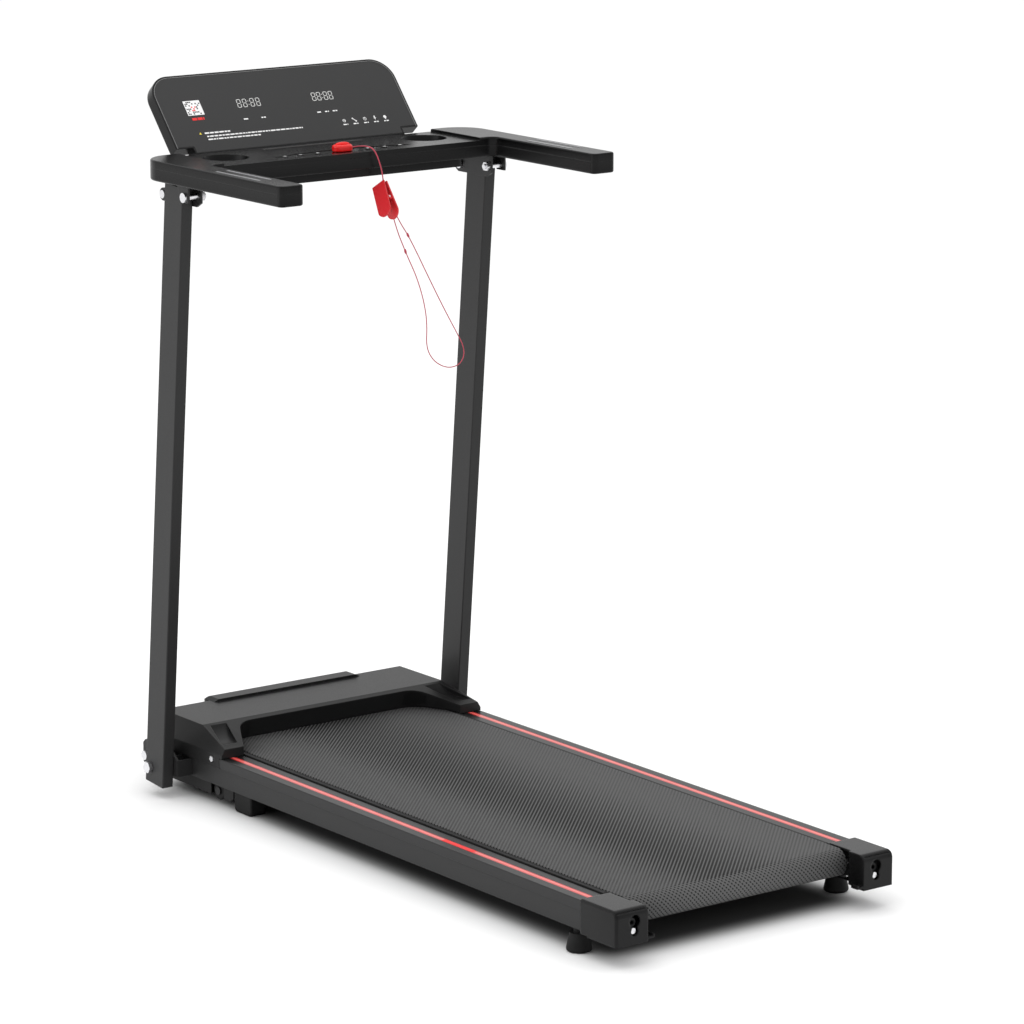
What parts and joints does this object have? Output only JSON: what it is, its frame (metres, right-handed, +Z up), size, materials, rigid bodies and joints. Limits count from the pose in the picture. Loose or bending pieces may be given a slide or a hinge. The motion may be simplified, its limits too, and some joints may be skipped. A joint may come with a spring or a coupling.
{
  "type": "treadmill",
  "caption": "Folding treadmill with a flat deck, leaning uprights, U-shaped console with cup holders, tilting display, buttons and a safety key on a lanyard.",
  "frame": {"origin": "on the floor, below the middle of the overall length and width", "axes": "+X to the user's right, +Y forward towards the console, +Z up"},
  "size_m": [0.621, 1.2402, 1.1204],
  "materials": {
    "painted_steel": "satin",
    "zinc_steel": "satin",
    "roller_steel": "satin",
    "motor_steel": "satin",
    "board": "satin",
    "rubber": "matte",
    "belt": "matte",
    "upright_paint": "satin",
    "inner_plastic": "matte",
    "pan_plastic": "matte",
    "rail_plastic": "satin",
    "cap_plastic": "satin",
    "hood_plastic": "satin",
    "stripe": "satin",
    "console_plastic": "satin",
    "strip_metal": "satin",
    "grey_plastic": "matte",
    "panel_gloss": "gloss",
    "button_plastic": "gloss",
    "circuit": "satin",
    "key_red": "gloss",
    "clip_red": "gloss",
    "display_glass": "satin",
    "cord_red": "matte"
  },
  "bodies": {
    "base": {"base_frame": "painted_steel", "upright_brackets": "painted_steel", "bracket_bolts": "zinc_steel", "running_board": "board", "deck_cushions": "rubber", "running_belt": "belt", "roller_bearings": "roller_steel", "roller_axles": "roller_steel", "axle_carriers": "painted_steel", "tension_bolts": "painted_steel", "motor": "motor_steel", "motor_mount": "painted_steel", "drive_belt": "rubber", "motor_controller": "inner_plastic", "rubber_feet": "rubber", "transport_axles": "painted_steel", "motor_pan": "pan_plastic", "foot_rails": "rail_plastic", "rail_stripes": "stripe", "end_caps": "cap_plastic", "cover_screws": "zinc_steel", "motor_hood": "hood_plastic", "power_inlet": "inner_plastic"},
    "front_roller_body": {"front_roller": "roller_steel", "roller_pulley": "inner_plastic"},
    "rear_roller_body": {"rear_roller": "roller_steel"},
    "motor_rotor_body": {"motor_rotor": "roller_steel", "motor_pulley": "roller_steel"},
    "wheel_right": {"transport_wheel_right": "inner_plastic"},
    "wheel_left": {"transport_wheel_left": "inner_plastic"},
    "rocker": {"power_rocker": "key_red"},
    "uprights": {"upright_right": "upright_paint", "upright_left": "upright_paint", "upright_plugs": "inner_plastic"},
    "console": {"console_brackets": "upright_paint", "console_bolts": "zinc_steel", "console_frame": "painted_steel", "console_lower_shell": "console_plastic", "console_upper_shell": "console_plastic", "handle_strips": "strip_metal", "tablet_strip": "grey_plastic", "button_panel": "panel_gloss", "button_board": "circuit", "display_pins": "zinc_steel"},
    "display": {"display_back": "console_plastic", "display_face": "display_glass", "display_board": "circuit"},
    "key": {"safety_key": "key_red"},
    "lanyard": {"lanyard_lead": "cord_red", "lanyard_loop": "cord_red", "clip_jaw_fixed": "clip_red", "clip_pin": "zinc_steel", "clip_spring": "zinc_steel"},
    "clip_jaw": {"clip_jaw_moving": "clip_red"},
    "button_1_body": {"button_1": "button_plastic"},
    "button_2_body": {"button_2": "button_plastic"},
    "button_3_body": {"button_3": "button_plastic"},
    "button_4_body": {"button_4": "button_plastic"},
    "button_5_body": {"button_5": "button_plastic"},
    "button_6_body": {"button_6": "button_plastic"}
  },
  "joints": [
    {"name": "upright_fold", "type": "hinge", "parent": "base", "child": "uprights", "pos_m": [0, 0.5199, 0.046], "axis": [1, 0, 0], "range_deg": [0, 84]},
    {"name": "console_level", "type": "hinge", "parent": "uprights", "child": "console", "pos_m": [0, 0.4629, 0.962], "axis": [1, 0, 0], "range_deg": [-84, 0]},
    {"name": "display_tilt", "type": "hinge", "parent": "console", "child": "display", "pos_m": [0, 0.5134, 1.0005], "axis": [1, 0, 0], "range_deg": [-49.6, 0]},
    {"name": "key_pull", "type": "slide", "parent": "console", "child": "key", "axis": [0, 0, 1], "range_m": [0, 0.012]},
    {"name": "lanyard_swing", "type": "hinge", "parent": "key", "child": "lanyard", "pos_m": [0.0171, 0.4009, 1.0155], "axis": [1, 0, 0], "range_deg": [-84, 0]},
    {"name": "clip_squeeze", "type": "hinge", "parent": "lanyard", "child": "clip_jaw", "pos_m": [0.041, 0.3449, 0.937], "axis": [0.2679, -0.7295, 0.6294], "range_deg": [0, 22], "stiffness_Nm_per_rad": 0.02},
    {"name": "front_roller_spin", "type": "hinge", "parent": "base", "child": "front_roller_body", "pos_m": [0, 0.4849, 0.0631], "axis": [1, 0, 0], "continuous": true},
    {"name": "rear_roller_spin", "type": "hinge", "parent": "base", "child": "rear_roller_body", "pos_m": [0, -0.5611, 0.0631], "axis": [1, 0, 0], "continuous": true},
    {"name": "motor_spin", "type": "hinge", "parent": "base", "child": "motor_rotor_body", "pos_m": [0, 0.5429, 0.074], "axis": [1, 0, 0], "continuous": true},
    {"name": "wheel_right_spin", "type": "hinge", "parent": "base", "child": "wheel_right", "pos_m": [0.23, 0.4109, 0.022], "axis": [1, 0, 0], "continuous": true},
    {"name": "wheel_left_spin", "type": "hinge", "parent": "base", "child": "wheel_left", "pos_m": [-0.23, 0.4109, 0.022], "axis": [1, 0, 0], "continuous": true},
    {"name": "power_switch", "type": "hinge", "parent": "base", "child": "rocker", "pos_m": [-0.162, 0.5919, 0.088], "axis": [1, 0, 0], "range_deg": [0, 9]},
    {"name": "button_1_press", "type": "slide", "parent": "console", "child": "button_1_body", "axis": [0, 0, -1], "range_m": [0, 0.0012], "stiffness_N_per_m": 300},
    {"name": "button_2_press", "type": "slide", "parent": "console", "child": "button_2_body", "axis": [0, 0, -1], "range_m": [0, 0.0012], "stiffness_N_per_m": 300},
    {"name": "button_3_press", "type": "slide", "parent": "console", "child": "button_3_body", "axis": [0, 0, -1], "range_m": [0, 0.0012], "stiffness_N_per_m": 300},
    {"name": "button_4_press", "type": "slide", "parent": "console", "child": "button_4_body", "axis": [0, 0, -1], "range_m": [0, 0.0012], "stiffness_N_per_m": 300},
    {"name": "button_5_press", "type": "slide", "parent": "console", "child": "button_5_body", "axis": [0, 0, -1], "range_m": [0, 0.0012], "stiffness_N_per_m": 300},
    {"name": "button_6_press", "type": "slide", "parent": "console", "child": "button_6_body", "axis": [0, 0, -1], "range_m": [0, 0.0012], "stiffness_N_per_m": 300}
  ],
  "couplings": [
    {"joint": "console_level", "follows": "upright_fold", "ratio": -1},
    {"joint": "lanyard_swing", "follows": "upright_fold", "ratio": -1},
    {"joint": "rear_roller_spin", "follows": "front_roller_spin", "ratio": 1},
    {"joint": "motor_spin", "follows": "front_roller_spin", "ratio": 2.5}
  ]
}
